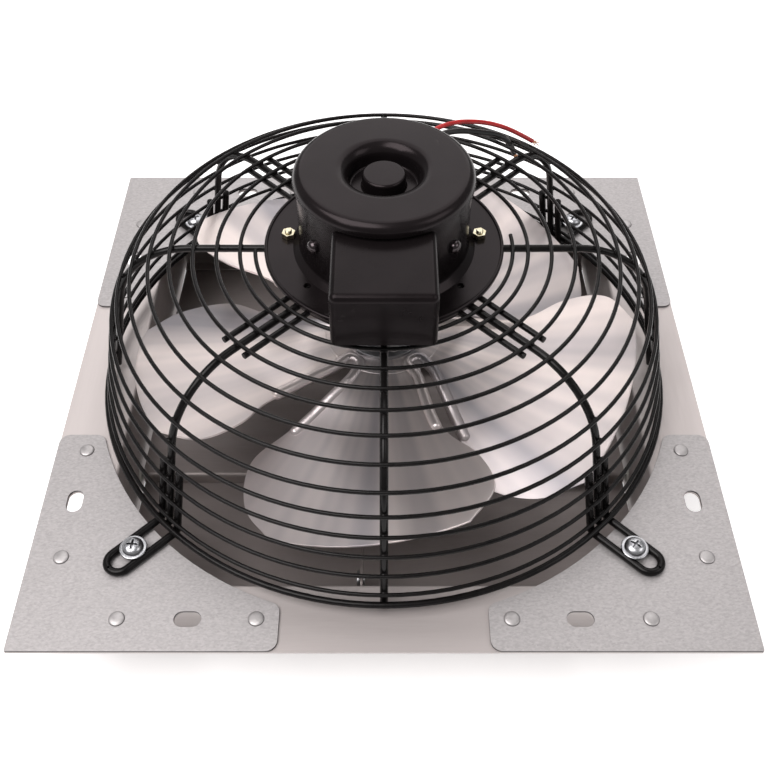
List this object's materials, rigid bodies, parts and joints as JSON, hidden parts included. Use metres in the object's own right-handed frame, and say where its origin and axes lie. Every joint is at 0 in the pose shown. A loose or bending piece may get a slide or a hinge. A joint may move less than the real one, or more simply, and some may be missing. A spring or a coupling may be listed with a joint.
{
  "type": "shutter exhaust fan",
  "caption": "Square-framed exhaust fan with a black wire guard that carries the motor, a pressed aluminium impeller and linked gravity louvres.",
  "frame": {"origin": "on the fan axis, in the plane of the shutter's outer edge, which the fan lies on in the picture", "axes": "+Z along the fan axis from the shutter to the motor, -Y towards the terminal box, +X to the right seen from the terminal box's side"},
  "size_m": [0.39, 0.39, 0.2145],
  "materials": {
    "rail_aluminium": "mill finish, faintly brushed",
    "galvanised_steel": "galvanised, faint mottling",
    "rivet_aluminium": "satin",
    "zinc_plate": "bright zinc",
    "yellow_zinc": "yellow passivated zinc",
    "black_wire": "gloss black coating",
    "motor_black": "semi-gloss black paint",
    "core_iron": "laminated steel",
    "copper": "enamelled copper wire",
    "bearing_steel": "ground steel",
    "blade_aluminium": "satin brushed",
    "hub_steel": "turned steel",
    "plain_steel": "bright drawn",
    "louvre_aluminium": "mill finish",
    "nylon": "natural nylon",
    "grommet_rubber": "matte",
    "red_pvc": "smooth insulation",
    "black_pvc": "smooth sleeve",
    "capacitor_case": "moulded case"
  },
  "bodies": {
    "frame": {"front_rail": "rail_aluminium", "right_rail": "rail_aluminium", "back_rail": "rail_aluminium", "left_rail": "rail_aluminium", "back_right_corner_plate": "galvanised_steel", "back_left_corner_plate": "galvanised_steel", "front_left_corner_plate": "galvanised_steel", "front_right_corner_plate": "galvanised_steel", "corner_rivets": "rivet_aluminium", "guard_screws": "zinc_plate", "guard_nuts": "zinc_plate", "guard_top_rings": "black_wire", "guard_side_rings": "black_wire", "guard_base_ring": "black_wire", "guard_spokes": "black_wire", "guard_legs": "black_wire", "guard_feet": "black_wire", "motor_support_wires": "black_wire", "motor_mount_plate": "motor_black", "motor_clamp_ring": "motor_black", "motor_bolts": "yellow_zinc", "motor_nuts": "yellow_zinc", "motor_shell": "motor_black", "motor_rear_cap": "motor_black", "shell_screws": "motor_black", "lead_grommet": "grommet_rubber", "stator_core": "core_iron", "stator_windings": "copper", "front_bearing": "bearing_steel", "rear_bearing": "bearing_steel", "terminal_box": "motor_black", "terminal_box_cover": "motor_black", "run_capacitor": "capacitor_case", "red_lead": "red_pvc", "black_lead": "black_pvc", "hinge_bushes": "nylon", "shutter_stop": "louvre_aluminium"},
    "impeller": {"motor_shaft": "plain_steel", "rotor_core": "core_iron", "fan_blades": "blade_aluminium", "fan_hub": "hub_steel", "hub_rivets": "rivet_aluminium", "hub_set_screw": "plain_steel"},
    "louvre_1": {"louvre_1": "louvre_aluminium", "louvre_1_hinge_rod": "plain_steel", "louvre_1_crank": "plain_steel"},
    "louvre_2": {"louvre_2": "louvre_aluminium", "louvre_2_hinge_rod": "plain_steel", "louvre_2_crank": "plain_steel"},
    "louvre_3": {"louvre_3": "louvre_aluminium", "louvre_3_hinge_rod": "plain_steel", "louvre_3_crank": "plain_steel"},
    "tie_bar": {"tie_bar": "louvre_aluminium"}
  },
  "joints": [
    {"name": "fan_spin", "type": "hinge", "parent": "frame", "child": "impeller", "pos_m": [0, 0, 0.1], "axis": [0, 0, 1], "continuous": true},
    {"name": "louvre_1_swing", "type": "hinge", "parent": "frame", "child": "louvre_1", "pos_m": [0, -0.149, 0.012], "axis": [-1, 0, 0], "range_deg": [0, 65]},
    {"name": "louvre_2_swing", "type": "hinge", "parent": "frame", "child": "louvre_2", "pos_m": [0, -0.051, 0.012], "axis": [-1, 0, 0], "range_deg": [0, 65]},
    {"name": "louvre_3_swing", "type": "hinge", "parent": "frame", "child": "louvre_3", "pos_m": [0, 0.047, 0.012], "axis": [-1, 0, 0], "range_deg": [0, 65]},
    {"name": "tie_bar_pivot", "type": "hinge", "parent": "louvre_1", "child": "tie_bar", "pos_m": [-0.01245, -0.145, 0.043], "axis": [-1, 0, 0], "range_deg": [-65, 0]}
  ],
  "couplings": [
    {"joint": "louvre_2_swing", "follows": "louvre_1_swing", "ratio": 1},
    {"joint": "louvre_3_swing", "follows": "louvre_1_swing", "ratio": 1},
    {"joint": "tie_bar_pivot", "follows": "louvre_1_swing", "ratio": -1}
  ]
}
